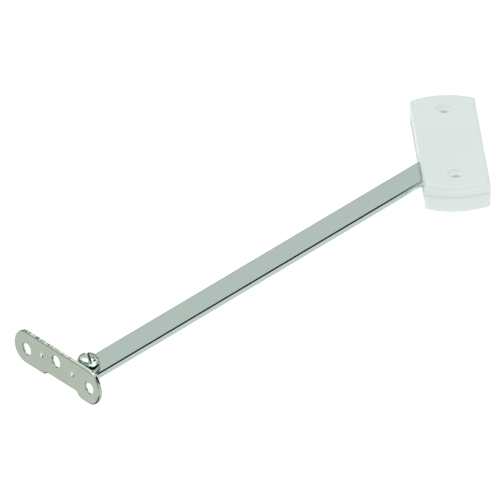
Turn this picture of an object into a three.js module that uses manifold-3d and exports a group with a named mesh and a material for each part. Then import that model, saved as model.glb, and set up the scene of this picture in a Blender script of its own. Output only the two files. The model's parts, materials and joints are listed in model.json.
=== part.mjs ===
// Sliding brake stay for a drop flap: a flat steel bar slides through a swivelling friction brake
// in a moulded housing, and a stamped plate is pivoted to the bar's outer end.
// Millimetres, +Z up. The origin is the centre of the housing's back face. X runs across the
// housing, Y along it, and the bar lies flat between the housing's back and front.

import * as THREE from 'three';
import { mergeVertices } from 'three/addons/utils/BufferGeometryUtils.js';
import Module from 'manifold-3d';

const wasm = await Module();
wasm.setup();

// Driving dimensions.
const CLEAR = 0.3;             // gap between a piece and the piece that it was cut to fit
const FIT = 0.15;              // gap between flat faces that rest on each other

const HOUSING_WIDTH = 32;
const HOUSING_LENGTH = 84;     // between the corners, without the bowed ends
const END_BOW = 4.2;           // how far each end bows out
const HOUSING_DEPTH = 14;
const PARTING_Z = 8;           // the joint between the two shells
const WALL = 2;
const FLOOR = 1.6;
const ROOF = 1.8;
const FRONT_ROUND = 1.8;

const FIXING_PITCH = 64;       // between the two wood-screw holes on the centre line
const FIXING_HOLE = 4.8;
const FIXING_BOSS = 9.4;
const RECESS_DIAMETER = 8.6;
const RECESS_DEPTH = 2.6;

const SLOT_LENGTH = 76;
const SLOT_BOTTOM = 3;
const SLOT_TOP = 7.4;

const SHELL_SCREW_X = 10.2;
const SHELL_SCREW_Y = 36.8;
const SHELL_BOSS = 6;
const SHELL_SCREW = { shank: 2.4, head: 4.6, headHeight: 1.2, point: 0.8, length: 9.6 };
const CROSS = { arm: 3.2, width: 0.7, depth: 0.7 };

const BAR_WIDTH = 14.4;
const BAR_THICKNESS = 3.2;
const BAR_BOTTOM = 3.5;
const BAR_TOP = BAR_BOTTOM + BAR_THICKNESS;
const BAR_EDGE = 0.8;          // rounding along the rolled edges
const BAR_ANGLE = 224.75;      // degrees, from the housing's centre to the plate's pivot
const BAR_REACH = 268.8;       // housing centre to the plate's pivot, fully drawn out
const BAR_TAIL = 9;            // housing centre to the centre of the bar's inner end

const CARRIER_RADIUS = 12.4;
const CARRIER_BOTTOM = FLOOR + FIT;
const CARRIER_FLOOR_TOP = 3.3;
const CARRIER_TOP = 9.6;
const CHANNEL_WIDTH = BAR_WIDTH + 2 * CLEAR;
const PAD_LENGTH = 10;
const PAD_WIDTH = 9;
const UPPER_PAD_THICKNESS = 1.5;
const PRESSURE_PLATE_THICKNESS = 0.8;
const CAP_TOP = 12;
const CAP_THICKNESS = 0.9;
const CARRIER_SCREW_OFFSET = 9.9;
const CARRIER_SCREW = { shank: 1.6, head: 3, headHeight: 0.8, length: 4 };
const DISC_SPRING = { outer: 6.2, inner: 3.2, dish: 0.35, thickness: 0.35 };
const RING_RIB = { inner: 12.7, outer: 13.7, height: 0.6 };

const STOP = { offset: 7.7, head: 5, headHeight: 0.9, shank: 2.8 };

const PLATE_THICKNESS = 2;
const PLATE_ANGLE = -55.9;     // degrees, the plate's long direction in plan
const PLATE_SET_BACK = 18.4;   // from the plate's fixing face to the pivot
const PLATE_HOLE_PITCH = 48;
const PLATE_HOLE = 6.2;
const PLATE_SINK = 8.2;
const HOLE_LINE_Z = 13.5;
const PLATE_RISE = 9.2;        // hole line up to the plate's top edge
const LEFT_LOBE = { centre: -25, reach: 8.7, drop: 7.9, foot: -11.4 };
const RIGHT_LOBE = { centre: 23.5, reach: 8.1, drop: 8.8, foot: 18.2 };
const LUG_BOTTOM = 7.4;
const LUG_ROOT = [-6.5, 14];   // where the lug leaves the plate, along the plate's length
const LUG_END_RADIUS = 5.7;
const MIDDLE_HOLE = [-1.4, 3.2];
const PIPS = [[-12.2, 2], [11.5, 2]];
const PIP = { root: 1.1, tip: 0.4, height: 0.55 };

const SCREW = {
  head: 10.5, headHeight: 4.45, shank: 5, thread: 3.6, tipZ: 0.4, slotWidth: 1.6, slotDepth: 1.8,
};
const SLOT_ANGLE = -82;
const WASHER = { outer: 11.6, inner: 5.6, thickness: 0.4 };
const LOWER_WASHER = { outer: 10.4, thickness: 0.6 };
const NUT = { acrossFlats: 8, thickness: 1.9 };

const ROUND_STEPS = 40;

const MATERIALS = {
  housing: new THREE.MeshStandardMaterial({ color: 0xe6ebea, roughness: 0.42, metalness: 0 }),
  plated: new THREE.MeshStandardMaterial({ color: 0xb9c4bc, roughness: 0.2, metalness: 1 }),
  stamped: new THREE.MeshStandardMaterial({ color: 0xb2beb2, roughness: 0.32, metalness: 1 }),
  carrier: new THREE.MeshStandardMaterial({ color: 0xc9cbc8, roughness: 0.5, metalness: 0 }),
  friction: new THREE.MeshStandardMaterial({ color: 0x4a4440, roughness: 0.9, metalness: 0 }),
  spring: new THREE.MeshStandardMaterial({ color: 0x8f9498, roughness: 0.35, metalness: 1 }),
};

const radians = THREE.MathUtils.degToRad;
const along = new THREE.Vector2(Math.cos(radians(BAR_ANGLE)), Math.sin(radians(BAR_ANGLE)));
const pivot = along.clone().multiplyScalar(BAR_REACH);

// Solids and booleans.
function solid(geometry) {
  const bare = geometry.index ? geometry.toNonIndexed() : geometry.clone();
  bare.deleteAttribute('normal');
  bare.deleteAttribute('uv');
  const merged = mergeVertices(bare, 1e-4);
  const mesh = new wasm.Mesh({
    numProp: 3,
    vertProperties: new Float32Array(merged.attributes.position.array),
    triVerts: new Uint32Array(merged.index.array),
  });
  return new wasm.Manifold(mesh);
}

function join(...pieces) {
  return pieces.reduce((whole, piece) => whole.add(piece));
}

function cut(body, ...tools) {
  return tools.reduce((rest, tool) => rest.subtract(tool), body);
}

function meshOf(name, body, material) {
  const { vertProperties, triVerts } = body.getMesh();
  const geometry = new THREE.BufferGeometry();
  geometry.setAttribute('position', new THREE.BufferAttribute(vertProperties, 3));
  geometry.setIndex(new THREE.BufferAttribute(triVerts, 1));
  geometry.computeVertexNormals();
  const mesh = new THREE.Mesh(geometry, material);
  mesh.name = name;
  return mesh;
}

function prism(shape, bottom, top, steps = 12) {
  const geometry = new THREE.ExtrudeGeometry(shape, {
    depth: top - bottom, bevelEnabled: false, curveSegments: steps,
  });
  return solid(geometry.translate(0, 0, bottom));
}

function box(width, length, bottom, top, x = 0, y = 0, turn = 0) {
  const geometry = new THREE.BoxGeometry(width, length, top - bottom);
  geometry.rotateZ(radians(turn));
  return solid(geometry.translate(x, y, (top + bottom) / 2));
}

function disc(diameter, bottom, top, x = 0, y = 0, steps = ROUND_STEPS, topDiameter = diameter) {
  const radius = diameter / 2;
  const geometry = new THREE.CylinderGeometry(topDiameter / 2, radius, top - bottom, steps);
  geometry.rotateX(Math.PI / 2);
  return solid(geometry.translate(x, y, (top + bottom) / 2));
}

function turned(profile, x = 0, y = 0, steps = ROUND_STEPS) {
  const points = profile.map(([radius, z]) => new THREE.Vector2(radius, z));
  const geometry = new THREE.LatheGeometry(points, steps);
  geometry.rotateX(Math.PI / 2);
  return solid(geometry.translate(x, y, 0));
}

// Places something along the bar's line: distance towards the plate, and offset to its left.
function onBar(distance, offset = 0) {
  return [along.x * distance - along.y * offset, along.y * distance + along.x * offset];
}

// Housing: a block with straight sides and bowed ends, in two shells.
function housingShape(inset) {
  const half = HOUSING_WIDTH / 2 - inset;
  const chord = HOUSING_WIDTH / 2;
  const radius = (chord * chord + END_BOW * END_BOW) / (2 * END_BOW);
  const centre = HOUSING_LENGTH / 2 + END_BOW - radius;
  const spread = Math.asin(half / (radius - inset));
  const shape = new THREE.Shape();
  shape.absarc(0, centre, radius - inset, Math.PI / 2 - spread, Math.PI / 2 + spread, false);
  shape.absarc(0, -centre, radius - inset, 1.5 * Math.PI - spread, 1.5 * Math.PI + spread, false);
  shape.closePath();
  return shape;
}

function roundedBlock() {
  const geometry = new THREE.ExtrudeGeometry(housingShape(0), {
    depth: 2 * HOUSING_DEPTH - 2 * FRONT_ROUND,
    bevelEnabled: true, bevelSize: FRONT_ROUND, bevelThickness: FRONT_ROUND,
    bevelOffset: -FRONT_ROUND, bevelSegments: 4, curveSegments: 14,
  });
  return solid(geometry.translate(0, 0, FRONT_ROUND - HOUSING_DEPTH));
}

const fixingPlaces = [1, -1].map((side) => [0, side * FIXING_PITCH / 2]);
const shellScrewPlaces = [];
for (const y of [SHELL_SCREW_Y, -SHELL_SCREW_Y]) {
  for (const x of [-SHELL_SCREW_X, SHELL_SCREW_X]) {
    shellScrewPlaces.push([x, y]);
  }
}

function housingBase() {
  let body = prism(housingShape(0), 0, PARTING_Z - FIT / 2);
  body = cut(body, prism(housingShape(WALL), FLOOR, HOUSING_DEPTH));
  for (const [x, y] of fixingPlaces) {
    body = join(body, disc(FIXING_BOSS, FLOOR - CLEAR, PARTING_Z - FIT / 2, x, y, 28));
  }
  const inside = prism(housingShape(WALL / 2), 0, HOUSING_DEPTH);
  for (const [x, y] of shellScrewPlaces) {
    body = join(body, disc(SHELL_BOSS, FLOOR - CLEAR, PARTING_Z - FIT / 2, x, y, 24).intersect(inside));
  }
  const ribTop = FLOOR + RING_RIB.height;
  const rib = cut(
    disc(2 * RING_RIB.outer, FLOOR - CLEAR, ribTop), disc(2 * RING_RIB.inner, 0, HOUSING_DEPTH));
  body = join(body, rib);
  body = cut(body, box(2 * HOUSING_WIDTH, SLOT_LENGTH, SLOT_BOTTOM, HOUSING_DEPTH)
    .subtract(box(HOUSING_WIDTH - 2 * WALL, 2 * HOUSING_LENGTH, 0, 2 * HOUSING_DEPTH)));
  for (const [x, y] of fixingPlaces) {
    body = cut(body, disc(FIXING_HOLE, -1, HOUSING_DEPTH, x, y, 24));
  }
  for (const [x, y] of shellScrewPlaces) {
    body = cut(body, disc(SHELL_SCREW.shank + 2 * CLEAR, -1, HOUSING_DEPTH, x, y, 16));
    body = cut(body, disc(SHELL_SCREW.head + 2 * CLEAR, -1, SHELL_SCREW.headHeight + CLEAR, x, y, 20));
  }
  return body;
}

function housingCover() {
  const bottom = PARTING_Z + FIT / 2;
  const outer = roundedBlock();
  let body = cut(outer, box(80, 160, -HOUSING_DEPTH - 1, bottom));
  body = cut(body, prism(housingShape(WALL), 0, HOUSING_DEPTH - ROOF));
  const tongueLength = SLOT_LENGTH - 2 * FIT;
  for (const side of [1, -1]) {
    const x = side * (HOUSING_WIDTH - WALL) / 2;
    body = join(body, box(WALL, tongueLength, SLOT_TOP, bottom + 1, x, 0));
  }
  for (const [x, y] of fixingPlaces) {
    body = join(body, disc(FIXING_BOSS, bottom, HOUSING_DEPTH - ROOF + CLEAR, x, y, 28));
  }
  const inside = prism(housingShape(WALL / 2), bottom, HOUSING_DEPTH - ROOF / 2);
  for (const [x, y] of shellScrewPlaces) {
    body = join(body, disc(SHELL_BOSS, bottom, HOUSING_DEPTH - ROOF + CLEAR, x, y, 24).intersect(inside));
  }
  for (const [x, y] of fixingPlaces) {
    body = cut(body, disc(FIXING_HOLE, 0, 2 * HOUSING_DEPTH, x, y, 24));
    body = cut(body, disc(RECESS_DIAMETER, HOUSING_DEPTH - RECESS_DEPTH, 2 * HOUSING_DEPTH, x, y, 32));
  }
  for (const [x, y] of shellScrewPlaces) {
    body = cut(body, disc(SHELL_SCREW.shank + 2 * CLEAR, 0, SHELL_SCREW.length + 1, x, y, 16));
  }
  return body;
}

function shellScrew([x, y]) {
  const head = SHELL_SCREW.head / 2;
  const shank = SHELL_SCREW.shank / 2;
  const { headHeight, length } = SHELL_SCREW;
  const body = turned([[0, 0.1], [head, 0.1], [head, headHeight], [shank, headHeight],
    [shank, length - SHELL_SCREW.point], [0.3, length], [0, length]], x, y, 20);
  const { arm, width, depth } = CROSS;
  return cut(body, box(arm, width, -1, depth, x, y, 45), box(width, arm, -1, depth, x, y, 45));
}

// Brake: a carrier that swivels in the housing, with the bar gripped between two pads.
function swivelCarrier() {
  let body = disc(2 * CARRIER_RADIUS, CARRIER_BOTTOM, CARRIER_TOP, 0, 0, 56);
  const reach = 4 * CARRIER_RADIUS;
  body = cut(body, box(reach, CHANNEL_WIDTH, CARRIER_FLOOR_TOP, 20, 0, 0, BAR_ANGLE));
  body = cut(body, box(PAD_LENGTH + 2 * CLEAR, PAD_WIDTH + 2 * CLEAR, 0, 5, 0, 0, BAR_ANGLE));
  const [x, y] = onBar(-CARRIER_RADIUS);
  const groove = STOP.head + 4 * CLEAR;
  body = cut(body, box(2 * CARRIER_RADIUS, groove, 0, 5, x, y, BAR_ANGLE));
  for (const side of [1, -1]) {
    const place = onBar(0, side * CARRIER_SCREW_OFFSET);
    body = cut(body, disc(CARRIER_SCREW.shank + 2 * CLEAR, 6, 20, ...place, 14));
  }
  return body;
}

function swivelCap() {
  const bottom = CAP_TOP - CAP_THICKNESS;
  const skirt = cut(
    disc(2 * CARRIER_RADIUS, CARRIER_TOP + FIT, CAP_TOP, 0, 0, 56),
    disc(CHANNEL_WIDTH, 0, bottom, 0, 0, 40));
  const holes = [1, -1].map((side) => {
    const place = onBar(0, side * CARRIER_SCREW_OFFSET);
    const shank = disc(CARRIER_SCREW.shank + 2 * CLEAR, 6, 20, ...place, 14);
    const seat = CAP_TOP - CARRIER_SCREW.headHeight;
    const head = disc(CARRIER_SCREW.head + 2 * CLEAR, seat, 20, ...place, 18);
    return shank.add(head);
  });
  return cut(skirt, ...holes);
}

function carrierScrew(side) {
  const [x, y] = onBar(0, side * CARRIER_SCREW_OFFSET);
  const top = CAP_TOP - FIT;
  const seat = CAP_TOP - CARRIER_SCREW.headHeight + FIT;
  const shank = CARRIER_SCREW.shank / 2;
  const head = CARRIER_SCREW.head / 2;
  const tip = seat - CARRIER_SCREW.length;
  return turned([[0, tip], [shank, tip], [shank, seat], [head, seat], [head, top], [0, top]], x, y, 16);
}

function pad(bottom, top, length, width) {
  return box(length, width, bottom, top, 0, 0, BAR_ANGLE);
}

function springRing(bottom, flip) {
  const { outer, inner, dish, thickness } = DISC_SPRING;
  const [a, b] = flip ? [bottom + dish, bottom] : [bottom, bottom + dish];
  return turned([[inner, a], [outer, b], [outer, b + thickness], [inner, a + thickness], [inner, a]]);
}

// Bar with its end stop.
function bar() {
  const half = BAR_WIDTH / 2;
  const shape = new THREE.Shape();
  shape.absarc(-BAR_TAIL, 0, half, Math.PI / 2, 1.5 * Math.PI, false);
  shape.absarc(BAR_REACH, 0, half, -Math.PI / 2, Math.PI / 2, false);
  shape.closePath();
  const geometry = new THREE.ExtrudeGeometry(shape, {
    depth: BAR_THICKNESS - 2 * BAR_EDGE,
    bevelEnabled: true, bevelSize: BAR_EDGE, bevelThickness: BAR_EDGE,
    bevelOffset: -BAR_EDGE, bevelSegments: 3, curveSegments: 18,
  });
  geometry.translate(0, 0, BAR_BOTTOM + BAR_EDGE);
  geometry.rotateZ(radians(BAR_ANGLE));
  const pivotHole = disc(SCREW.shank + 2 * CLEAR, 0, 20, pivot.x, pivot.y, 28);
  const stopHole = disc(STOP.shank + 2 * CLEAR, 0, 20, ...onBar(-STOP.offset), 20);
  return cut(solid(geometry), pivotHole, stopHole);
}

function stopRivet() {
  const bottom = BAR_BOTTOM - STOP.headHeight;
  const seat = BAR_BOTTOM - FIT / 2;
  const shank = STOP.shank / 2;
  const head = STOP.head / 2;
  const top = BAR_TOP - FIT;
  return turned([[0, bottom], [head - 0.3, bottom], [head, bottom + 0.3], [head, seat], [shank, seat],
    [shank, top], [0, top]], ...onBar(-STOP.offset), 24);
}

// Stamped plate, drawn in its own plane and then turned upright.
function plateOutline() {
  const recess = LUG_BOTTOM - HOLE_LINE_Z;
  const { centre: left, foot: leftFoot } = LEFT_LOBE;
  const { centre: right, foot: rightFoot } = RIGHT_LOBE;
  const leftLow = -LEFT_LOBE.drop;
  const rightLow = -RIGHT_LOBE.drop;
  const shape = new THREE.Shape();
  shape.moveTo(right, PLATE_RISE);
  shape.lineTo(left, PLATE_RISE);
  shape.absellipse(left, 0, LEFT_LOBE.reach, PLATE_RISE, Math.PI / 2, Math.PI, false);
  shape.absellipse(left, 0, LEFT_LOBE.reach, LEFT_LOBE.drop, Math.PI, 1.5 * Math.PI, false);
  shape.lineTo(leftFoot, leftLow);
  shape.bezierCurveTo(leftFoot + 1.6, leftLow, leftFoot + 1.9, recess, leftFoot + 4.1, recess);
  shape.lineTo(rightFoot - 4, recess);
  shape.bezierCurveTo(rightFoot - 3.4, recess - 1.5, rightFoot - 2, rightLow, rightFoot + 0.8, rightLow);
  shape.lineTo(right, rightLow);
  shape.absellipse(right, 0, RIGHT_LOBE.reach, RIGHT_LOBE.drop, -Math.PI / 2, 0, false);
  shape.absellipse(right, 0, RIGHT_LOBE.reach, PLATE_RISE, 0, Math.PI / 2, false);
  return shape;
}

function lugOutline() {
  const [from, to] = LUG_ROOT;
  const centre = new THREE.Vector2(0, PLATE_SET_BACK);
  const root = new THREE.Vector2(to, PLATE_THICKNESS);
  const away = root.clone().sub(centre);
  const tangent = away.angle() + Math.acos(LUG_END_RADIUS / away.length());
  const shape = new THREE.Shape();
  shape.moveTo(from, PLATE_THICKNESS / 2);
  shape.lineTo(to, PLATE_THICKNESS / 2);
  shape.lineTo(root.x, root.y);
  shape.absarc(centre.x, centre.y, LUG_END_RADIUS, tangent - 2 * Math.PI, Math.PI, false);
  shape.lineTo(from, PLATE_THICKNESS + 1);
  shape.closePath();
  return shape;
}

function mountingPlate() {
  const upright = new THREE.ExtrudeGeometry(plateOutline(), {
    depth: PLATE_THICKNESS, bevelEnabled: false, curveSegments: 12,
  });
  upright.rotateX(Math.PI / 2);
  upright.translate(0, PLATE_THICKNESS, HOLE_LINE_Z);
  let body = solid(upright);
  const lug = prism(lugOutline(), LUG_BOTTOM, LUG_BOTTOM + PLATE_THICKNESS, 14);
  body = join(body, lug);
  const holes = [[-PLATE_HOLE_PITCH / 2, 0], MIDDLE_HOLE, [PLATE_HOLE_PITCH / 2, 0]];
  for (const [x, z] of holes) {
    const bore = new THREE.CylinderGeometry(PLATE_HOLE / 2, PLATE_HOLE / 2, 10, 28);
    body = cut(body, solid(bore.translate(x, 0, HOLE_LINE_Z + z)));
    const sink = new THREE.CylinderGeometry(PLATE_SINK / 2 + 1, PLATE_HOLE / 2, 2, 28);
    body = cut(body, solid(sink.translate(x, PLATE_THICKNESS, HOLE_LINE_Z + z)));
  }
  for (const [x, z] of PIPS) {
    const pip = new THREE.CylinderGeometry(PIP.root, PIP.tip, 2 * PIP.height, 14);
    body = join(body, solid(pip.translate(x, 0, HOLE_LINE_Z + z)));
  }
  const lift = new THREE.Matrix4().makeTranslation(0, -PLATE_SET_BACK, 0);
  const turn = new THREE.Matrix4().makeRotationZ(radians(PLATE_ANGLE));
  const place = new THREE.Matrix4().makeTranslation(pivot.x, pivot.y, 0);
  body = body.transform(place.multiply(turn).multiply(lift).toArray());
  return cut(body, disc(SCREW.shank + 2 * CLEAR, 0, 20, pivot.x, pivot.y, 28));
}

// Pivot hardware, from the head down: screw, washer, lug, thin washer, bar, lower washer, nut.
const lugTop = LUG_BOTTOM + PLATE_THICKNESS;
const nutTop = BAR_BOTTOM - 2 * FIT - LOWER_WASHER.thickness;

function pivotScrew() {
  const seat = lugTop + FIT;
  const top = seat + SCREW.headHeight;
  const head = SCREW.head / 2;
  const shank = SCREW.shank / 2;
  const thread = SCREW.thread / 2;
  const tip = SCREW.tipZ;
  const threadTop = nutTop + FIT;
  const body = turned([[0, tip], [thread - 0.3, tip], [thread, tip + 0.3], [thread, threadTop],
    [shank, threadTop], [shank, seat], [head, seat], [head, top - 2.6], [head - 0.25, top - 1.75],
    [head - 1.2, top - 0.82], [head - 3.2, top - 0.29], [0, top]],
  pivot.x, pivot.y, 44);
  const slot = box(20, SCREW.slotWidth, top - SCREW.slotDepth, top + 5, pivot.x, pivot.y, SLOT_ANGLE);
  return cut(body, slot);
}

function washer(outer, inner, bottom, top) {
  return cut(
    disc(outer, bottom, top, pivot.x, pivot.y, 36),
    disc(inner, bottom - 1, top + 1, pivot.x, pivot.y, 28));
}

function pivotNut() {
  const across = NUT.acrossFlats / Math.cos(Math.PI / 6);
  const body = disc(across, nutTop - NUT.thickness, nutTop, pivot.x, pivot.y, 6);
  return cut(body, disc(SCREW.thread + 2 * CLEAR, -5, 20, pivot.x, pivot.y, 20));
}

const stay = new THREE.Group();

function add(name, body, material) {
  stay.add(meshOf(name, body, material));
}

add('housing_base', housingBase(), MATERIALS.housing);
add('housing_cover', housingCover(), MATERIALS.housing);
shellScrewPlaces.forEach((place, index) => {
  add(`shell_screw_${index + 1}`, shellScrew(place), MATERIALS.spring);
});

add('swivel_carrier', swivelCarrier(), MATERIALS.carrier);
add('swivel_cap', swivelCap(), MATERIALS.carrier);
[1, -1].forEach((side, index) => {
  add(`carrier_screw_${index + 1}`, carrierScrew(side), MATERIALS.spring);
});
add('brake_pad_lower', pad(CARRIER_BOTTOM, BAR_BOTTOM - FIT, PAD_LENGTH, PAD_WIDTH), MATERIALS.friction);
const upperPadTop = BAR_TOP + FIT + UPPER_PAD_THICKNESS;
add('brake_pad_upper', pad(BAR_TOP + FIT, upperPadTop, PAD_LENGTH + 2, BAR_WIDTH), MATERIALS.friction);
const pressureTop = upperPadTop + FIT + PRESSURE_PLATE_THICKNESS;
const upperSpringBottom = pressureTop + DISC_SPRING.dish + DISC_SPRING.thickness + 2 * FIT;
add('pressure_plate', pad(upperPadTop + FIT, pressureTop, PAD_LENGTH, BAR_WIDTH - 1), MATERIALS.plated);
add('disc_spring_lower', springRing(pressureTop + FIT, true), MATERIALS.spring);
add('disc_spring_upper', springRing(upperSpringBottom, false), MATERIALS.spring);

add('bar', bar(), MATERIALS.plated);
add('stop_rivet', stopRivet(), MATERIALS.spring);

add('mounting_plate', mountingPlate(), MATERIALS.stamped);
add('pivot_screw', pivotScrew(), MATERIALS.plated);
add('pivot_washer', washer(WASHER.outer, WASHER.inner, BAR_TOP + FIT, BAR_TOP + FIT + WASHER.thickness),
  MATERIALS.spring);
add('lower_washer', washer(LOWER_WASHER.outer, WASHER.inner, nutTop + FIT, BAR_BOTTOM - FIT),
  MATERIALS.spring);
add('pivot_nut', pivotNut(), MATERIALS.plated);

export default stay;
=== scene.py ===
"""Looks for the braked flap stay: white moulded housing, nickel-plated bar and stamped plate."""

import json
import math

import bmesh
import bpy
from mathutils import Matrix, Vector


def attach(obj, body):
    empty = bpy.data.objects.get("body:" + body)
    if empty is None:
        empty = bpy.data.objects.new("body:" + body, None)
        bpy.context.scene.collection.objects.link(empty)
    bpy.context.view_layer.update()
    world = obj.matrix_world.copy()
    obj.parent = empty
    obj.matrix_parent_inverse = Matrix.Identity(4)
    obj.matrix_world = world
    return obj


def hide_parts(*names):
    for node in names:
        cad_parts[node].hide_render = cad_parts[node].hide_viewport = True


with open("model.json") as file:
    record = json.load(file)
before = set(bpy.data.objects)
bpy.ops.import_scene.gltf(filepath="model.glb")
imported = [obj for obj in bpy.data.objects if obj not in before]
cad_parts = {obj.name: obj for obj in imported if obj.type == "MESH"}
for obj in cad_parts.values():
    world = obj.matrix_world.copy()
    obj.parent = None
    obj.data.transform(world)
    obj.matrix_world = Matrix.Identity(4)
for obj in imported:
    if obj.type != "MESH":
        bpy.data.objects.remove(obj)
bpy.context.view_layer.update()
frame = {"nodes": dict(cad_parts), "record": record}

MM = 0.001

# ---------------------------------------------------------------- sizes, in millimetres
HOUSING = dict(width=32.0, length=84.0, bow=4.2, depth=14.0, parting=8.0, wall=2.0, floor=1.6, roof=1.8)
FRONT_ROUND = 1.7
BACK_ROUND = 0.5
CORNER = 0.35
SEAM = 0.003
FIXING_Y = 32.0
FIXING_HOLE = 4.8
FIXING_BOSS = 9.4
RECESS = dict(diameter=8.6, depth=2.6)
SLOT = dict(length=76.0, bottom=3.25, top=7.4)
SHELL_SCREWS = [(x, y) for y in (36.8, -36.8) for x in (-10.2, 10.2)]

BAR = dict(width=14.4, bottom=3.5, top=6.7, reach=268.8, tail=9.0, angle=224.75, edge=0.95)
PLATE = dict(thickness=2.0, angle=-55.9, set_back=18.4, hole_line=13.5, rise=9.2,
             left_drop=7.9, right_drop=8.8, lug_bottom=7.4, lug_end=5.7)
LUG = dict(left=-6.5, right=14.0)
LEFT_LOBE = dict(centre=-25.0, reach=8.7, foot=-11.4)
RIGHT_LOBE = dict(centre=23.5, reach=8.1, foot=18.2)
PLATE_HOLES = [(-24.0, 0.0), (-1.4, 3.2), (24.0, 0.0)]
PIPS = [(-12.2, 2.0), (11.5, 2.0)]
SCREW = dict(head=10.5, base=9.55, top=14.0, slot_width=1.6, slot_depth=1.8, slot_angle=-82.0)
UNDERCUT = 0.75       # height of the groove under the pivot screw's head
PIVOT_BORE = 2.8      # radius of the hole in the bar, the lug and the washers
STOP_RIVET = dict(beyond=7.7, bore=1.7)
NUT = dict(corner=4.62, bottom=0.7, top=2.6, bore=2.1)
SHELL_SCREW = dict(bore=1.5, boss=2.9, sink=3.1)
CARRIER_RING = dict(outer=13.7, inner=12.7, height=0.6)
WELD = 0.4            # how far a joined piece reaches into its neighbour

turn_bar = math.radians(BAR["angle"])
PIVOT = Vector((BAR["reach"] * math.cos(turn_bar), BAR["reach"] * math.sin(turn_bar), 0.0))


# ---------------------------------------------------------------- mesh helpers
def new_object(name, bm):
    """Makes an object in metres from a bmesh drawn in millimetres."""
    bmesh.ops.recalc_face_normals(bm, faces=bm.faces)
    bmesh.ops.scale(bm, vec=(MM, MM, MM), verts=bm.verts)
    mesh = bpy.data.meshes.new(name)
    bm.to_mesh(mesh)
    bm.free()
    obj = bpy.data.objects.new(name, mesh)
    bpy.context.scene.collection.objects.link(obj)
    return obj


def bridge_rings(bm, rings):
    """Skins a list of equal rings of points, and caps the first and the last one."""
    loops = [[bm.verts.new(p) for p in ring] for ring in rings]
    count = len(loops[0])
    for low, high in zip(loops, loops[1:]):
        for i in range(count):
            j = (i + 1) % count
            bm.faces.new((low[i], low[j], high[j], high[i]))
    bm.faces.new(list(reversed(loops[0])))
    bm.faces.new(loops[-1])


def inset_loop(loop, inset):
    """Moves every side of a closed outline inwards by inset. The outline runs anticlockwise."""
    moved = []
    for before, here, after in zip(loop[-1:] + loop[:-1], loop, loop[1:] + loop[:1]):
        a = (here - before).normalized()
        b = (after - here).normalized()
        normal = Vector((-a.y - b.y, a.x + b.x))
        if normal.length < 1e-9:
            normal = Vector((-a.y, a.x))
        normal.normalize()
        stretch = max(0.35, normal.dot(Vector((-a.y, a.x))))
        moved.append(here + normal * (inset / stretch))
    return moved


def round_steps(edge, steps):
    """Inset and height of each step of a rounded edge, from the side to the face."""
    angles = [math.pi / 2 * i / steps for i in range(steps + 1)]
    return [(edge * (1 - math.cos(a)), edge * math.sin(a)) for a in angles]


def slab(name, outline, bottom, top, low_edge=0.3, high_edge=0.3, steps=3):
    """A plate with rounded edges. outline is a list of points, or a function of the inset."""
    at = outline if callable(outline) else (lambda inset: inset_loop(outline, inset))
    rings = []
    for inset, rise in reversed(round_steps(low_edge, steps)):
        rings.append([(p.x, p.y, bottom + low_edge - rise) for p in at(inset)])
    for inset, rise in round_steps(high_edge, steps):
        rings.append([(p.x, p.y, top - high_edge + rise) for p in at(inset)])
    bm = bmesh.new()
    bridge_rings(bm, rings)
    return new_object(name, bm)


def turned(name, profile, centre=(0, 0), steps=64):
    """A turned solid from (radius, height) points, with flat ends."""
    bm = bmesh.new()
    rings = []
    for radius, z in profile:
        rings.append([(centre[0] + radius * math.cos(math.tau * i / steps),
                       centre[1] + radius * math.sin(math.tau * i / steps), z) for i in range(steps)])
    bridge_rings(bm, rings)
    return new_object(name, bm)


def block(name, size, centre, turn=0.0):
    """A box, turned about its own upright axis by degrees."""
    bm = bmesh.new()
    bmesh.ops.create_cube(bm, size=1.0)
    bmesh.ops.scale(bm, vec=size, verts=bm.verts)
    spin = Matrix.Rotation(math.radians(turn), 3, "Z")
    bmesh.ops.rotate(bm, cent=(0, 0, 0), matrix=spin, verts=bm.verts)
    bmesh.ops.translate(bm, vec=centre, verts=bm.verts)
    return new_object(name, bm)


def combine(obj, others, operation):
    """Applies an exact boolean with each of the others, and removes them."""
    for other in others:
        modifier = obj.modifiers.new("shape", "BOOLEAN")
        modifier.operation = operation
        modifier.solver = "EXACT"
        modifier.object = other
        shaped = bpy.data.meshes.new_from_object(
            obj.evaluated_get(bpy.context.evaluated_depsgraph_get()))
        obj.modifiers.clear()
        old = obj.data
        obj.data = shaped
        bpy.data.meshes.remove(old)
        bpy.data.objects.remove(other)
    return obj


def carve(obj, *cutters):
    return combine(obj, cutters, "DIFFERENCE")


def weld(obj, *others):
    return combine(obj, others, "UNION")


def finish_mesh(obj, name, body, node, material, sharp=32.0):
    """Cleans and smooths a finished piece, names it, parents it to its body, gives it its material and hides
    the CAD node that it replaces.
    """
    bm = bmesh.new()
    bm.from_mesh(obj.data)
    bmesh.ops.remove_doubles(bm, verts=bm.verts, dist=2e-6)
    bmesh.ops.dissolve_degenerate(bm, edges=bm.edges, dist=1e-6)
    for face in bm.faces:
        face.smooth = True
    for edge in bm.edges:
        edge.smooth = len(edge.link_faces) == 2 and edge.calc_face_angle(0.0) < math.radians(sharp)
    bm.to_mesh(obj.data)
    bm.free()
    obj.name = name
    obj.data.name = name
    obj.data.materials.clear()
    obj.data.materials.append(material)
    weighted = obj.modifiers.new("normals", "WEIGHTED_NORMAL")
    weighted.keep_sharp = True
    weighted.weight = 100
    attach(obj, body)
    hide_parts(node)
    return obj


# ---------------------------------------------------------------- materials
def principled(name, color, roughness, metallic=0.0):
    material = bpy.data.materials.new(name)
    material.use_nodes = True
    nodes = material.node_tree.nodes
    shader = nodes["Principled BSDF"]
    shader.inputs["Base Color"].default_value = (*color, 1)
    shader.inputs["Roughness"].default_value = roughness
    shader.inputs["Metallic"].default_value = metallic
    return material, material.node_tree, shader


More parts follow.
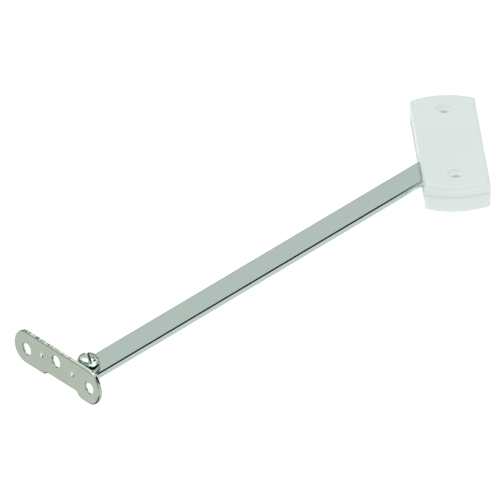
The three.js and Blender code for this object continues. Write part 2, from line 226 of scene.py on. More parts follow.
def shader_math(tree, operation, *values):
    """A math node fed by sockets or plain numbers."""
    node = tree.nodes.new("ShaderNodeMath")
    node.operation = operation
    for socket, value in zip(node.inputs, values):
        if isinstance(value, (int, float)):
            socket.default_value = value
        else:
            tree.links.new(value, socket)
    return node.outputs["Value"]


def product(tree, first, *others):
    """Multiplies sockets and plain numbers together."""
    for other in others:
        first = shader_math(tree, "MULTIPLY", first, other)
    return first


def smooth_step(tree, value, start, end, low=0.0, high=1.0):
    """Runs from low to high as the value runs from start to end, with soft ends."""
    node = tree.nodes.new("ShaderNodeMapRange")
    node.interpolation_type = "SMOOTHSTEP"
    node.inputs["From Min"].default_value = start
    node.inputs["From Max"].default_value = end
    node.inputs["To Min"].default_value = low
    node.inputs["To Max"].default_value = high
    tree.links.new(value, node.inputs["Value"])
    return node.outputs["Result"]


def position(tree, kind):
    """The x, y and z sockets of one kind of texture coordinate."""
    place = tree.nodes.new("ShaderNodeTexCoord")
    split = tree.nodes.new("ShaderNodeSeparateXYZ")
    tree.links.new(place.outputs[kind], split.inputs["Vector"])
    return split.outputs["X"], split.outputs["Y"], split.outputs["Z"]


def along_line(tree, x, y, angle):
    """Distance along a level line through the origin, at an angle to x."""
    return shader_math(tree, "ADD", product(tree, x, math.cos(angle)), product(tree, y, math.sin(angle)))


def noise(tree, scale, detail=3.0, stretch=(1, 1, 1), turn=0.0):
    """Noise in object space, with cells stretched along an axis."""
    place = tree.nodes.new("ShaderNodeTexCoord")
    mapping = tree.nodes.new("ShaderNodeMapping")
    mapping.inputs["Rotation"].default_value = (0, 0, -turn)
    squeeze = tree.nodes.new("ShaderNodeMapping")
    squeeze.inputs["Scale"].default_value = stretch
    texture = tree.nodes.new("ShaderNodeTexNoise")
    texture.inputs["Scale"].default_value = scale
    texture.inputs["Detail"].default_value = detail
    tree.links.new(place.outputs["Object"], mapping.inputs["Vector"])
    tree.links.new(mapping.outputs["Vector"], squeeze.inputs["Vector"])
    tree.links.new(squeeze.outputs["Vector"], texture.inputs["Vector"])
    return texture.outputs["Fac"]


def ranged(tree, value, low, high):
    """Spreads the middle of a noise over a range."""
    node = tree.nodes.new("ShaderNodeMapRange")
    node.inputs["From Min"].default_value = 0.3
    node.inputs["From Max"].default_value = 0.7
    node.inputs["To Min"].default_value = low
    node.inputs["To Max"].default_value = high
    tree.links.new(value, node.inputs["Value"])
    return node.outputs["Result"]


def tinted(tree, value, dark, light):
    node = tree.nodes.new("ShaderNodeMix")
    node.data_type = "RGBA"
    node.inputs["A"].default_value = (*dark, 1)
    node.inputs["B"].default_value = (*light, 1)
    tree.links.new(value, node.inputs["Factor"])
    return node.outputs["Result"]


def bumped(tree, shader, value, distance, strength=1.0):
    bump = tree.nodes.new("ShaderNodeBump")
    bump.inputs["Distance"].default_value = distance
    bump.inputs["Strength"].default_value = strength
    tree.links.new(value, bump.inputs["Height"])
    tree.links.new(bump.outputs["Normal"], shader.inputs["Normal"])


SHELL_PAINTED_GLOW = 0.18     # painted glow on the shell's inner faces, standing in for light through the thin white shell
RECESS_PAINTED_GLOW = 0.13    # the same painted glow, on the walls of the two screw recesses


def moulded_white():
    """Glossy white moulding with some subsurface light, and a painted glow on its inner faces and recess
    walls, so its hollows never go dark.
    """
    material, tree, shader = principled("moulded_white", (0.80, 0.83, 0.82), 0.32)
    shader.inputs["Subsurface Weight"].default_value = 0.35
    shader.inputs["Subsurface Radius"].default_value = (1, 1, 1)
    shader.inputs["Subsurface Scale"].default_value = 0.002
    shader.inputs["IOR"].default_value = 1.49
    mottle = noise(tree, 70, 4)
    color = tinted(tree, mottle, (0.80, 0.86, 0.85), (0.84, 0.90, 0.89))
    tree.links.new(color, shader.inputs["Base Color"])
    tree.links.new(ranged(tree, noise(tree, 500, 2), 0.28, 0.36), shader.inputs["Roughness"])
    bumped(tree, shader, noise(tree, 1500, 1), 0.000006, 0.4)
    x, y, z = position(tree, "Object")
    wide = smooth_step(tree, shader_math(tree, "ABSOLUTE", x), 0.0143, 0.0141)
    long = smooth_step(tree, shader_math(tree, "ABSOLUTE", y), 0.0405, 0.0400)
    above_floor = smooth_step(tree, z, 0.0012, 0.0015)
    below_roof = smooth_step(tree, z, 0.0126, 0.0122)
    off = shader_math(tree, "SUBTRACT", shader_math(tree, "ABSOLUTE", y), FIXING_Y * MM)
    square = shader_math(tree, "ADD", product(tree, x, x), product(tree, off, off))
    reach = shader_math(tree, "SQRT", square)
    past_recess = smooth_step(tree, reach, 0.0049, 0.0053)
    inside = product(tree, wide, long, above_floor, below_roof, past_recess)
    below_face = smooth_step(tree, z, 0.0139, 0.0135)
    above_seat = smooth_step(tree, z, 0.0105, 0.0112)
    in_recess = smooth_step(tree, reach, 0.0053, 0.0049)
    steep = smooth_step(tree, object_normal(tree)[1], 0.98, 0.2, 0.25, 1.0)
    bowl = product(tree, below_face, above_seat, in_recess, steep)
    # Painted glow: emission on the inner faces and the recess walls stands in for light through the shell.
    glow = shader_math(tree, "ADD", product(tree, inside, SHELL_PAINTED_GLOW), product(tree, bowl, RECESS_PAINTED_GLOW))
    shader.inputs["Emission Color"].default_value = (0.95, 0.92, 0.83, 1)
    tree.links.new(glow, shader.inputs["Emission Strength"])
    return material


def plated(name, color, roughness, grain=(1, 1, 1), turn=0.0, relief=0.000004):
    """Plated metal with a faint cloud in its colour and fine lines in its gloss."""
    material, tree, shader = principled(name, color, roughness, 1.0)
    cloud = noise(tree, 160, 3)
    dark = (color[0] * 0.95, color[1] * 0.99, color[2] * 0.90)
    light = (color[0] * 1.04, color[1] * 1.01, color[2] * 1.10)
    tree.links.new(tinted(tree, cloud, dark, light), shader.inputs["Base Color"])
    lines = noise(tree, 900, 3, grain, turn)
    tree.links.new(ranged(tree, lines, roughness * 0.75, roughness * 1.3), shader.inputs["Roughness"])
    bumped(tree, shader, lines, relief, 0.6)
    return material


def object_normal(tree):
    """The surface's direction in the object's frame, and its upward part."""
    place = tree.nodes.new("ShaderNodeTexCoord")
    parts = tree.nodes.new("ShaderNodeSeparateXYZ")
    tree.links.new(place.outputs["Normal"], parts.inputs["Vector"])
    return place.outputs["Normal"], parts.outputs["Z"]


def scale_color(tree, shader, gain):
    """Multiplies the base colour that is already linked by a gain."""
    socket = shader.inputs["Base Color"]
    plain = socket.links[0].from_socket
    scaled = tree.nodes.new("ShaderNodeVectorMath")
    scaled.operation = "SCALE"
    tree.links.new(plain, scaled.inputs[0])
    tree.links.new(gain, scaled.inputs["Scale"])
    tree.links.new(scaled.outputs["Vector"], socket)


def polished_nickel():
    """Plated strip, with painted shade on its sides and underside, and a painted highlight on its sides next
    to the housing.
    """
    material = plated("polished_nickel", (0.55, 0.645, 0.600), 0.07, (0.05, 1, 1), turn_bar)
    tree = material.node_tree
    up = object_normal(tree)[1]
    # Painted shade: the side faces are darkened to 0.82 and the downward faces to 0.6.
    side = smooth_step(tree, up, 0.1, 0.45, 0.82, 1.0)
    painted_underside_shade = smooth_step(tree, up, -0.5, -0.1, 0.6, 1.0)
    x, y, _ = position(tree, "Object")
    # Painted highlight: the side faces next to the housing are brightened up to 1.9 times.
    near_housing = smooth_step(tree, along_line(tree, x, y, turn_bar), 0.043, 0.035, 0.0, 0.9)
    edge_gloss_and_painted_sheen = product(tree, near_housing, smooth_step(tree, up, 0.45, 0.1))
    edge_gloss_and_painted_sheen = shader_math(tree, "ADD", edge_gloss_and_painted_sheen, 1.0)
    scale_color(tree, tree.nodes["Principled BSDF"], product(tree, side, edge_gloss_and_painted_sheen, painted_underside_shade))
    return material


def toward(tree, normal, x, y):
    """How much a normal points towards one level direction."""
    node = tree.nodes.new("ShaderNodeVectorMath")
    node.operation = "DOT_PRODUCT"
    node.inputs[1].default_value = (x, y, 0)
    tree.links.new(normal, node.inputs[0])
    return node.outputs["Value"]


def stamped_nickel():
    """Tumbled nickel on the faces; the sheared top edge keeps streaks across the sheet, partly painted as
    bright glints, with a painted highlight on its smooth end and painted shade along the downward edges.
    """
    material = plated("satin_nickel", (0.40, 0.452, 0.382), 0.30, relief=0.000004)
    tree = material.node_tree
    shader = tree.nodes["Principled BSDF"]
    turn = math.radians(PLATE["angle"])
    normal, up = object_normal(tree)
    across = toward(tree, normal, -math.sin(turn), math.cos(turn))
    flatness = shader_math(tree, "ABSOLUTE", across)
    x, y, height = position(tree, "Object")
    on_edge = smooth_step(tree, flatness, 0.55, 0.25)
    on_top = smooth_step(tree, up, 0.86, 0.97)
    above_lug = smooth_step(tree, height, 0.016, 0.018)
    edge = product(tree, on_edge, on_top, above_lug)
    middle = (PIVOT.x * math.cos(turn) + PIVOT.y * math.sin(turn)) * MM
    from_middle = shader_math(tree, "SUBTRACT", along_line(tree, x, y, turn), middle)
    smooth_end = smooth_step(tree, from_middle, 0.007, 0.011)
    torn_end = shader_math(tree, "SUBTRACT", 1.0, smooth_end)
    # The streaks are the sheared edge's own grain, and partly painted glints: its colour runs from 0.3 to
    # 2.4 times.
    streaks = noise(tree, 1300, 2, (1, 0.3, 1), turn)
    speckle = smooth_step(tree, streaks, 0.42, 0.58, 0.30, 2.4)
    rough = product(tree, shader_math(tree, "SUBTRACT", speckle, 1.0), torn_end)
    # Painted highlight: the smooth end of the top edge is brightened 1.9 times.
    bright = product(tree, smooth_end, 0.9)
    edge_streaks_and_highlight = product(tree, shader_math(tree, "ADD", rough, bright), edge)
    # Painted shade: the downward-facing rounded edges are darkened to 0.06 of their colour.
    plate_underside_shade = product(tree, smooth_step(tree, up, -0.01, -0.15, 0.0, 0.94),
                  smooth_step(tree, flatness, 0.15, 0.45))
    outline = shader_math(tree, "SUBTRACT", 1.0, plate_underside_shade)
    scale_color(tree, shader, product(tree, shader_math(tree, "ADD", edge_streaks_and_highlight, 1.0), outline))
    sheen = shader.inputs["Roughness"].links[0].from_socket
    edge_gloss_and_painted_sheen = smooth_step(tree, flatness, 0.25, 0.6, 0.35, 1.0)
    tree.links.new(product(tree, sheen, edge_gloss_and_painted_sheen), shader.inputs["Roughness"])
    bump = tree.nodes.new("ShaderNodeBump")
    bump.inputs["Distance"].default_value = 0.00008
    tree.links.new(product(tree, edge, torn_end), bump.inputs["Strength"])
    tree.links.new(streaks, bump.inputs["Height"])
    fine = shader.inputs["Normal"].links[0].from_node
    tree.links.new(bump.outputs["Normal"], fine.inputs["Normal"])
    return material


def turned_nickel():
    """Turned and plated, with a painted highlight where the head faces the front and painted shade on its
    right and left sides.
    """
    material = plated("turned_nickel", (0.56, 0.64, 0.59), 0.22)
    tree = material.node_tree
    normal = object_normal(tree)[0]
    # Painted highlight on the faces towards the front; painted shade on the right and left sides.
    front = smooth_step(tree, toward(tree, normal, -0.15, -0.98), 0.14, 0.26, 1.0, 1.5)
    right = smooth_step(tree, toward(tree, normal, 0.87, -0.50), 0.90, 0.98, 1.0, 0.3)
    left = smooth_step(tree, toward(tree, normal, -0.94, -0.34), 0.70, 0.84, 1.0, 0.45)
    scale_color(tree, tree.nodes["Principled BSDF"], product(tree, front, right, left))
    return material


def coloured(name, color, roughness, metallic=0.0, scale=1200, relief=0.00002):
    """A plain finish with a fine grain in its colour, gloss and relief."""
    material, tree, shader = principled(name, color, roughness, metallic)
    cells = noise(tree, scale, 4)
    dark = tuple(c * 0.85 for c in color)
    light = tuple(min(1.0, c * 1.12) for c in color)
    tree.links.new(tinted(tree, cells, dark, light), shader.inputs["Base Color"])
    gloss = ranged(tree, cells, roughness * 0.85, min(1.0, roughness * 1.15))
    tree.links.new(gloss, shader.inputs["Roughness"])
    bumped(tree, shader, cells, relief, 0.7)
    return material


MATERIALS = {
    "housing_plastic": moulded_white(),
    "polished_nickel": polished_nickel(),
    "turned_nickel": turned_nickel(),
    "satin_nickel": stamped_nickel(),
    "slot_shade": plated("slot_shade", (0.06, 0.065, 0.06), 0.5),
    # The next two are a painted highlight and a painted shade for the pips.
    "pip_painted_highlight": plated("pip_painted_highlight", (0.90, 0.92, 0.89), 0.2),
    "pip_shade": plated("pip_shade", (0.03, 0.035, 0.03), 0.4),
    "zinc_steel": plated("zinc_steel", (0.56, 0.58, 0.60), 0.28),
    "spring_steel": coloured("spring_steel", (0.30, 0.31, 0.33), 0.35, 1.0),
    "carrier_plastic": coloured("carrier_plastic", (0.70, 0.70, 0.67), 0.5),
    "friction_lining": coloured("friction_lining", (0.07, 0.06, 0.055), 0.9, 0.0, 1500, 0.0001),
}


# ---------------------------------------------------------------- housing
def housing_outline(inset):
    """Straight sides and bowed ends, with a small radius at each corner."""
    half = HOUSING["width"] / 2
    radius = (half * half + HOUSING["bow"] ** 2) / (2 * HOUSING["bow"])
    centre = HOUSING["length"] / 2 + HOUSING["bow"] - radius
    corner = max(0.05, CORNER - inset)
    side = half - inset
    bow = radius - inset
    corner_x = side - corner
    lift = math.sqrt((bow - corner) ** 2 - corner_x ** 2)
    corner_y = centre + lift
    lean = math.atan2(lift, corner_x)
    points = []
    for step in range(9):
        a = lean * step / 8
        points.append(Vector((corner_x + corner * math.cos(a), corner_y + corner * math.sin(a))))
    for step in range(1, 24):
        a = lean + (math.pi - 2 * lean) * step / 24
        points.append(Vector((bow * math.cos(a), centre + bow * math.sin(a))))
    for step in range(9):
        a = math.pi - lean + lean * step / 8
        points.append(Vector((-corner_x + corner * math.cos(a), corner_y + corner * math.sin(a))))
    sides = [corner_y * (1 - 2 * i / 12) for i in range(1, 12)]
    far = list(points)
    near = [Vector((-p.x, -p.y)) for p in far]
    left = [Vector((-side, y)) for y in sides]
    right = [Vector((side, -y)) for y in sides]
    return far + left + near + right


def lip(radius, face, flare, steps=5):
    """The mouth of a hole with a rounded lip: (radius, height) points from outside inwards."""
    points = [(radius + flare, face + 1.0), (radius + flare, face)]
    for step in range(1, steps + 1):
        a = math.pi / 2 * step / steps
        points.append((radius + flare * (1 - math.sin(a)), face - flare * (1 - math.cos(a))))
    return points


def fixing_cutter(y):
    """A screw hole with a bowl-shaped recess in the front face."""
    face = HOUSING["depth"]
    seat = face - RECESS["depth"]
    wall = RECESS["diameter"] / 2 - 0.3
    hole = FIXING_HOLE / 2
    corner = 1.6
    profile = lip(wall, face, 0.8)
    for step in range(9):
        a = math.pi / 2 * step / 8
        profile.append((wall - corner * (1 - math.cos(a)), seat + corner * (1 - math.sin(a))))
    profile += [(hole + 0.35, seat), (hole + 0.1, seat - 0.1), (hole, seat - 0.35), (hole, 0.4)]
    profile += [(hole + 0.4, 0.0), (hole + 0.4, -1.0)]
    return turned("cutter", profile, (0, y), 48)


def slot_cutter(side, bottom, top, length, radius=1.0):
    """A rounded window through one side wall."""
    outline = []
    corners = [(length / 2 - radius, top - radius, 0), (-length / 2 + radius, top - radius, 90),
               (-length / 2 + radius, bottom + radius, 180), (length / 2 - radius, bottom + radius, 270)]
    for y, z, start in corners:
        for step in range(7):
            a = math.radians(start + 90 * step / 6)
            outline.append((y + radius * math.cos(a), z + radius * math.sin(a)))
    half = HOUSING["width"] / 2
    flare = 0.35
    middle = (bottom + top) / 2
    rings = []
    steps = [(half + 1.0, flare), (half, flare), (half - 0.1, 0.16), (half - 0.35, 0.0), (half - 4.0, 0.0)]
    for x, grow in steps:
        ring = []
        for y, z in outline:
            dy = grow if y > 0 else -grow
            dz = grow if z > middle else -grow
            ring.append((side * x, y + dy, z + dz))
        rings.append(ring)
    bm = bmesh.new()
    bridge_rings(bm, rings)
    return new_object("cutter", bm)


def cross_cutter(x, y, depth=0.8, arm=3.2, width=0.75):
    """The two arms of a cross recess."""
    first = block("cutter", (arm, width, depth * 2), (x, y, 0.1), 20)
    second = block("cutter", (width, arm, depth * 2 + 0.02), (x, y, 0.1), 20)
    return first, second


def make_cover():
    seam = HOUSING["parting"] + SEAM
    body = slab("cover", housing_outline, seam, HOUSING["depth"], 0.03, FRONT_ROUND, 8)
    roof = HOUSING["depth"] - HOUSING["roof"]
    wall = HOUSING["wall"]
    cavity = slab("cavity", lambda inset: housing_outline(wall + inset), seam - 2, roof, 0.05, 0.8, 3)
    body = carve(body, cavity)
    bosses = []
    for y in (FIXING_Y, -FIXING_Y):
        bosses.append(turned("boss", [(FIXING_BOSS / 2, seam), (FIXING_BOSS / 2, roof + WELD)], (0, y), 48))
    body = weld(body, *bosses)
    tongue = SLOT["length"] - 0.3
    tongues = []
    for side in (1, -1):
        x = side * (HOUSING["width"] - wall) / 2
        tongues.append(block("tongue", (wall - 0.004, tongue, seam + 1.2 - SLOT["top"]),
                             (x, 0, (seam + 1.2 + SLOT["top"]) / 2)))
    body = weld(body, *tongues)
    body = carve(body, fixing_cutter(FIXING_Y), fixing_cutter(-FIXING_Y))
    for x, y in SHELL_SCREWS:
        hole = turned("hole", [(SHELL_SCREW["bore"], 5.0), (SHELL_SCREW["bore"], 10.5)], (x, y), 24)
        body = carve(body, hole)
    return finish_mesh(body, "cover_shell", "housing", "housing_cover",
                       MATERIALS["housing_plastic"])


def make_base():
    seam = HOUSING["parting"] - SEAM
    body = slab("base", housing_outline, 0.0, seam, BACK_ROUND, 0.03, 4)
    wall = HOUSING["wall"]
    floor = HOUSING["floor"]
    cavity = slab("cavity", lambda inset: housing_outline(wall + inset), floor, seam + 2, 0.6, 0.05, 3)
    body = carve(body, cavity)
    bosses = []
    for y in (FIXING_Y, -FIXING_Y):
        bosses.append(turned("boss", [(FIXING_BOSS / 2, floor - WELD), (FIXING_BOSS / 2, seam)], (0, y), 48))
    for x, y in SHELL_SCREWS:
        boss = [(SHELL_SCREW["boss"], floor - WELD), (SHELL_SCREW["boss"], seam)]
        bosses.append(turned("boss", boss, (x, y), 32))
    outer, inner = CARRIER_RING["outer"], CARRIER_RING["inner"]
    ring = turned("ring", [(outer, floor - WELD), (outer, floor + CARRIER_RING["height"])], (0, 0), 72)
    ring = carve(ring, turned("core", [(inner, 0.0), (inner, 5.0)], (0, 0), 72))
    body = weld(body, ring, *bosses)
    for side in (1, -1):
        body = carve(body, slot_cutter(side, SLOT["bottom"], seam + 6.0, SLOT["length"]))
    body = carve(body, fixing_cutter(FIXING_Y), fixing_cutter(-FIXING_Y))
    sink, bore = SHELL_SCREW["sink"], SHELL_SCREW["bore"]
    profile = [(sink, -1.0), (sink, 0.0), (sink - 0.4, 0.35), (sink - 0.5, 1.5), (bore, 1.5), (bore, 12.0)]
    for x, y in SHELL_SCREWS:
        body = carve(body, turned("sink", profile, (x, y), 32))
    return finish_mesh(body, "base_shell", "housing", "housing_base",
                       MATERIALS["housing_plastic"])


def make_shell_screws():
    for index, (x, y) in enumerate(SHELL_SCREWS, 1):
        profile = [(1.7, 0.22), (2.1, 0.3), (2.3, 0.55), (2.3, 1.2), (1.2, 1.35), (1.2, 8.8), (0.3, 9.6)]
        screw = turned("screw", profile, (x, y), 40)
        screw = carve(screw, *cross_cutter(x, y))
        finish_mesh(screw, f"shell_screw_head_{index}", "housing", f"shell_screw_{index}",
                    MATERIALS["zinc_steel"])


# ---------------------------------------------------------------- bar
def bar_outline():
    """The strip with round ends, along x from the housing's centre."""
    half = BAR["width"] / 2
    points = []
    steps = 28
    for step in range(steps + 1):
        a = -math.pi / 2 + math.pi * step / steps
        points.append(Vector((BAR["reach"] + half * math.cos(a), half * math.sin(a))))
    for step in range(1, 40):
        points.append(Vector((BAR["reach"] - (BAR["reach"] + BAR["tail"]) * step / 40, half)))
    for step in range(steps + 1):
        a = math.pi / 2 + math.pi * step / steps
        points.append(Vector((-BAR["tail"] + half * math.cos(a), half * math.sin(a))))
    for step in range(1, 40):
        points.append(Vector((-BAR["tail"] + (BAR["reach"] + BAR["tail"]) * step / 40, -half)))
    return points


def make_bar():
    body = slab("bar", bar_outline(), BAR["bottom"], BAR["top"], BAR["edge"], BAR["edge"], 4)
    body.data.transform(Matrix.Rotation(turn_bar, 4, "Z"))
    hole = turned("hole", [(PIVOT_BORE, 0.0), (PIVOT_BORE, 12.0)], (PIVOT.x, PIVOT.y), 48)
    stop = (-STOP_RIVET["beyond"] * math.cos(turn_bar), -STOP_RIVET["beyond"] * math.sin(turn_bar))
    bore = STOP_RIVET["bore"]
    body = carve(body, hole, turned("hole", [(bore, 0.0), (bore, 12.0)], stop, 32))
    return finish_mesh(body, "flat_bar", "bar", "bar", MATERIALS["polished_nickel"])


# ---------------------------------------------------------------- stamped plate
def arc_points(centre, rx, ry, start, end, steps=14):
    points = []
    for step in range(steps + 1):
        a = math.radians(start + (end - start) * step / steps)
        points.append(Vector((centre[0] + rx * math.cos(a), centre[1] + ry * math.sin(a))))
    return points


def bezier(p0, p1, p2, p3, steps=8):
    points = []
    for step in range(steps + 1):
        t = step / steps
        u = 1 - t
        points.append(Vector(p0) * u**3 + Vector(p1) * 3 * u * u * t
                      + Vector(p2) * 3 * u * t * t + Vector(p3) * t**3)
    return points


def plate_outline():
    """The upright plate seen from its fixing face: along the plate, and up from the hole line."""
    recess = PLATE["lug_bottom"] - PLATE["hole_line"]
    rise, left_drop, right_drop = PLATE["rise"], PLATE["left_drop"], PLATE["right_drop"]
    left, right = LEFT_LOBE["centre"], RIGHT_LOBE["centre"]
    points = arc_points((right, 0), RIGHT_LOBE["reach"], rise, 0, 90)
    points += arc_points((left, 0), LEFT_LOBE["reach"], rise, 90, 180)
    points += arc_points((left, 0), LEFT_LOBE["reach"], left_drop, 180, 270)[1:]
    foot = LEFT_LOBE["foot"]
    points += bezier((foot, -left_drop), (foot + 1.6, -left_drop),
                     (foot + 1.9, recess), (foot + 4.1, recess))
    foot = RIGHT_LOBE["foot"]
    points += bezier((foot - 4.0, recess), (foot - 3.4, recess - 1.5), (foot - 2.0, -right_drop),
                     (foot + 0.8, -right_drop))
    points += arc_points((right, 0), RIGHT_LOBE["reach"], right_drop, 270, 360)[:-1]
    return points


def lug_outline():
    """The lug in plan: along the plate, and back from the fixing face."""
    back = PLATE["set_back"]
    end = PLATE["lug_end"]
    root = Vector((LUG["right"], PLATE["thickness"]))
    away = root - Vector((0.0, back))
    tangent = math.degrees(math.atan2(away.y, away.x) + math.acos(end / away.length))
    points = [Vector((LUG["left"], 0.6)), Vector((LUG["right"], 0.6)), root]
    points += arc_points((0, back), end, end, tangent, 180, 30)
    points.append(Vector((LUG["left"], PLATE["thickness"] + 1.0)))
    return points


def make_plate():
    thickness = PLATE["thickness"]
    body = slab("plate", plate_outline(), -thickness, 0.0, 0.22, 0.7, 5)
    # Drawn face up, so it is stood up before the lug is joined on.
    stand = Matrix(((1, 0, 0, 0), (0, 0, -1, 0), (0, 1, 0, 0), (0, 0, 0, 1)))
    cutters = []
    for x, y in PLATE_HOLES:
        profile = [(4.3, -thickness - 1.0), (4.3, -thickness), (3.1, -thickness + 1.0)]
        profile += [(3.1, -0.25), (3.17, -0.08), (3.35, 0.0), (3.35, 1.0)]
        cutters.append(turned("hole", profile, (x, y), 48))
    body = carve(body, *cutters)
    profile = [(1.3, -0.5), (1.3, 0.0), (1.0, 0.12), (0.7, 0.48), (0.35, 0.58), (0.2, 0.5)]
    body = weld(body, *[turned("pip", profile, pip, 24) for pip in PIPS])
    body.data.transform(stand)
    low = PLATE["lug_bottom"] - PLATE["hole_line"]
    lug = slab("lug", lug_outline(), low, low + thickness, 0.22, 0.22, 3)
    body = weld(body, lug, bend_fillet(low + thickness))
    hole = [(PIVOT_BORE, low - 3.0), (PIVOT_BORE, low + 9.0)]
    body = carve(body, turned("hole", hole, (0, PLATE["set_back"]), 48))
    angle = math.radians(PLATE["angle"])
    lift = Matrix.Translation(Vector((0, -PLATE["set_back"], PLATE["hole_line"])) * MM)
    body.data.transform(Matrix.Translation(PIVOT * MM) @ Matrix.Rotation(angle, 4, "Z") @ lift)
    finish_mesh(body, "stamped_plate", "bracket", "mounting_plate",
                MATERIALS["satin_nickel"])
    shade_pips(body)
    return body


def shade_pips(plate):
    """The pips get a painted highlight on their crowns and painted shade on the side that faces down and
    right.
    """
    plate.data.materials.append(MATERIALS["pip_painted_highlight"])
    plate.data.materials.append(MATERIALS["pip_shade"])
    angle = math.radians(PLATE["angle"])
    along = Vector((math.cos(angle), math.sin(angle), 0))
    outward = Vector((math.sin(angle), -math.cos(angle), 0))
    face_point = PIVOT + outward * PLATE["set_back"]
    for face in plate.data.polygons:
        offset = face.center / MM - face_point
        spot = Vector((offset.dot(along), offset.z - PLATE["hole_line"]))
        if offset.dot(outward) < 0.02 or min((spot - Vector(pip)).length for pip in PIPS) > 1.5:
            continue
        # Painted shade on the faces turned down and right, painted highlight on the rest of each pip.
        downhill = face.normal.dot(along) * 0.75 - face.normal.z * 0.65
        face.material_index = 2 if downhill > 0.3 else 1


def bend_fillet(lug_top, radius=1.2, steps=6):
    """The inside of the bend, between the plate's back and the lug's top."""
    back = PLATE["thickness"]
    section = [(back - 0.6, lug_top - 0.6), (back + radius, lug_top - 0.6)]
    for step in range(steps + 1):
        a = math.pi / 2 * step / steps
        section.append((back + radius * (1 - math.sin(a)), lug_top + radius * (1 - math.cos(a))))
    section.append((back - 0.6, lug_top + radius))
    bm = bmesh.new()
    bridge_rings(bm, [[(x, y, z) for y, z in section] for x in (LUG["left"] + 0.2, LUG["right"] - 0.6)])
    return new_object("fillet", bm)


# ---------------------------------------------------------------- pivot hardware
def make_pivot():
    base, top = SCREW["base"], SCREW["top"]
    head = SCREW["head"] / 2
    profile = [(1.5, 0.4), (1.8, 0.7), (1.8, 2.75), (2.5, 2.75), (2.5, base), (head - 0.55, base)]
    profile += [(head - 0.55, base + 0.55), (head - 0.1, base + UNDERCUT), (head, base + 0.85)]
    profile += [(head, top - 3.0), (head - 0.06, top - 2.5), (head - 0.18, top - 2.0)]
    profile += [(head - 0.40, top - 1.45), (head - 0.72, top - 0.98), (head - 1.15, top - 0.60)]
    profile += [(head - 1.75, top - 0.33), (head - 2.7, top - 0.14), (head - 4.0, top - 0.03), (0.3, top)]
    screw = turned("screw", profile, (PIVOT.x, PIVOT.y), 72)
    depth = SCREW["slot_depth"]
    slot = block("slot", (16, SCREW["slot_width"], 4.0),
                 (PIVOT.x, PIVOT.y, top - depth + 2.0), SCREW["slot_angle"])
    screw = carve(screw, slot)
    finish_mesh(screw, "slotted_screw", "bar", "pivot_screw",
                MATERIALS["turned_nickel"])
    screw.data.materials.append(MATERIALS["slot_shade"])
    # Painted shade: the slot's walls and the groove under the head get the dark slot material.
    turn = math.radians(SCREW["slot_angle"])
    for face in screw.data.polygons:
        across = (face.center / MM - PIVOT).dot(Vector((-math.sin(turn), math.cos(turn), 0)))
        height = face.center.z / MM
        in_slot = abs(face.normal.z) < 0.1 and abs(across) < SCREW["slot_width"] / 2 + 0.02
        if height > base and (in_slot or height < base + UNDERCUT):
            face.material_index = 1
    ring("thin_washer", "pivot_washer", 5.8, 6.85, 7.25)
    ring("under_washer", "lower_washer", 5.2, 2.75, 3.35)
    corner, bore = NUT["corner"], NUT["bore"]
    hexagon = [Vector((corner * math.cos(math.tau * i / 6), corner * math.sin(math.tau * i / 6)))
               for i in range(6)]
    nut = slab("nut", hexagon, NUT["bottom"], NUT["top"], 0.15, 0.15, 2)
    nut.data.transform(Matrix.Translation(PIVOT * MM))
    nut = carve(nut, turned("hole", [(bore, 0.0), (bore, 5.0)], (PIVOT.x, PIVOT.y), 32))
    finish_mesh(nut, "hex_nut", "bar", "pivot_nut", MATERIALS["zinc_steel"])


def ring(name, node, outer, bottom, top):
    """A washer on the pivot."""
    edge = 0.08
    profile = [(outer - edge, bottom), (outer, bottom + edge), (outer, top - edge), (outer - edge, top)]
    body = turned(name, profile, (PIVOT.x, PIVOT.y), 56)
    hole = [(PIVOT_BORE, bottom - 1), (PIVOT_BORE, top + 1)]
    body = carve(body, turned("hole", hole, (PIVOT.x, PIVOT.y), 48))
    finish_mesh(body, name, "bar", node, MATERIALS["zinc_steel"])


# ---------------------------------------------------------------- inner pieces keep their CAD shapes
def dress_frame_nodes():
    """Gives every CAD node the material of its slot."""
    slots = {part["node"]: part["material_slot"] for part in frame["record"]["subparts"]}
    for name, obj in frame["nodes"].items():
        obj.data.materials.clear()
        obj.data.materials.append(MATERIALS[slots[name]])


# ---------------------------------------------------------------- camera, floor and light
VIEW = dict(azimuth=-4.285, elevation=29.96, roll=-0.773, distance=9.1, aim=(-96.0, -91.0, 5.0),
            shift=(-9.27, 4.47), scale=2.0717)
GLOW = dict(left=0.95, right=1.0)
SKY = dict(near=0.32, back=0.80, top=1.50, low=1.2, left=0.7, dark=0.02, horizon=0.3)


def make_camera():
    azimuth, elevation, roll = (math.radians(VIEW[k]) for k in ("azimuth", "elevation", "roll"))
    back = Vector((math.sin(azimuth) * math.cos(elevation), -math.cos(azimuth) * math.cos(elevation),
                   math.sin(elevation)))
    right = (-back).cross(Vector((0, 0, 1))).normalized()
    up = right.cross(-back)
    tilted_right = right * math.cos(roll) + up * math.sin(roll)
    tilted_up = up * math.cos(roll) - right * math.sin(roll)
    aim = (Vector(VIEW["aim"]) + tilted_right * VIEW["shift"][0] + tilted_up * VIEW["shift"][1]) * MM
    camera = bpy.data.cameras.new("camera")
    camera.sensor_width = 36.0
    camera.lens = VIEW["scale"] * camera.sensor_width * VIEW["distance"] / MM / 500
    camera.clip_start = 0.1
    camera.clip_end = 100.0
    obj = bpy.data.objects.new("camera", camera)
    basis = Matrix((tilted_right, tilted_up, back)).transposed().to_4x4()
    obj.matrix_world = Matrix.Translation(aim + back * VIEW["distance"]) @ basis
    bpy.context.scene.collection.objects.link(obj)
    bpy.context.scene.camera = obj


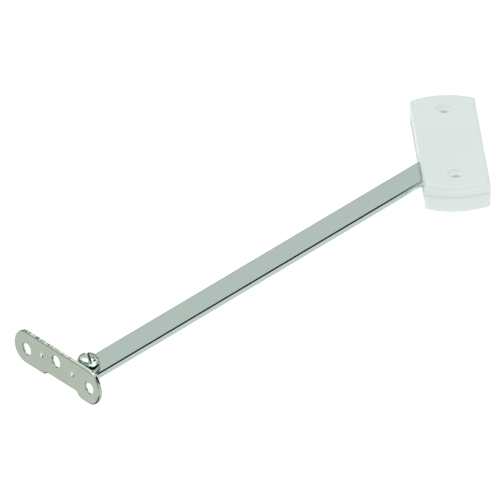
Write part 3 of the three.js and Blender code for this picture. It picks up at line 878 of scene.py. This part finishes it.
def make_floor():
    """A white sweep that glows a little, more on the side that the bar's near edge mirrors."""
    bm = bmesh.new()
    bmesh.ops.create_grid(bm, x_segments=1, y_segments=1, size=6000)
    bmesh.ops.translate(bm, vec=(0, 0, -0.3), verts=bm.verts)
    floor = new_object("floor", bm)
    material, tree, shader = principled("floor_white", (0.16, 0.16, 0.16), 0.9)
    shader.inputs["Specular IOR Level"].default_value = 0.0
    shader.inputs["Emission Color"].default_value = (1, 1, 1, 1)
    x, y, _ = position(tree, "Object")
    beside = product(tree, shader_math(tree, "SUBTRACT", x, y), math.sqrt(0.5))
    tree.links.new(smooth_step(tree, beside, -0.05, 0.01, GLOW["left"], GLOW["right"]),
                   shader.inputs["Emission Strength"])
    floor.data.materials.append(material)




def make_light():
    """A soft studio room: bright overhead, dimmer at the camera, dark behind the right side."""
    world = bpy.data.worlds.new("studio")
    bpy.context.scene.world = world
    world.use_nodes = True
    tree = world.node_tree
    background = tree.nodes["Background"]
    x, y, z = position(tree, "Generated")

    # From dim at the camera to bright behind, brighter overhead, and dim again near the horizon.
    behind = smooth_step(tree, y, -0.5, 0.5, SKY["near"], SKY["back"])
    overhead = smooth_step(tree, z, 0.62, 0.86)
    lift = shader_math(tree, "SUBTRACT", SKY["top"], behind)
    room = shader_math(tree, "ADD", behind, product(tree, lift, overhead))
    far = product(tree, smooth_step(tree, z, 0.44, 0.34), smooth_step(tree, y, 0.3, 0.6))
    low = shader_math(tree, "MAXIMUM", far, smooth_step(tree, z, 0.20, 0.03))
    room = product(tree, room, smooth_step(tree, low, 0.0, 1.0, 1.0, SKY["horizon"]))

    # A bright strip low in front, on both sides of the camera, which lights the plate's face.
    strip = product(tree, smooth_step(tree, z, -0.02, 0.04), smooth_step(tree, z, 0.62, 0.55),
                    smooth_step(tree, y, 0.05, -0.02), smooth_step(tree, y, -0.80, -0.65))
    room = shader_math(tree, "MAXIMUM", room, product(tree, strip, SKY["low"]))
    room = product(tree, room, smooth_step(tree, x, -0.9, -0.3, SKY["left"], 1.0))

    # A dark panel on the right, which the bar's rolled edge mirrors as a fine line.
    side = smooth_step(tree, x, 0.15, 0.22)
    under = smooth_step(tree, z, 0.84, 0.78)
    forward = product(tree, smooth_step(tree, z, 0.16, 0.24), smooth_step(tree, y, -0.44, -0.34))
    beyond = shader_math(tree, "MAXIMUM", smooth_step(tree, y, 0.0, 0.1), forward)
    along = along_line(tree, x, y, turn_bar - math.pi)
    start = smooth_step(tree, along, 0.30, 0.34)
    end = smooth_step(tree, along, 0.74, 0.69)
    shade = product(tree, side, under, beyond, start, end)
    keep = smooth_step(tree, shade, 0.0, 1.0, 1.0, SKY["dark"])
    tree.links.new(product(tree, room, keep), background.inputs["Strength"])
    background.inputs["Color"].default_value = (0.97, 1.0, 0.985, 1)
    bpy.context.scene.view_settings.view_transform = "Standard"


make_camera()
make_floor()
make_light()
make_cover()
make_base()
make_shell_screws()
make_bar()
make_plate()
make_pivot()
dress_frame_nodes()
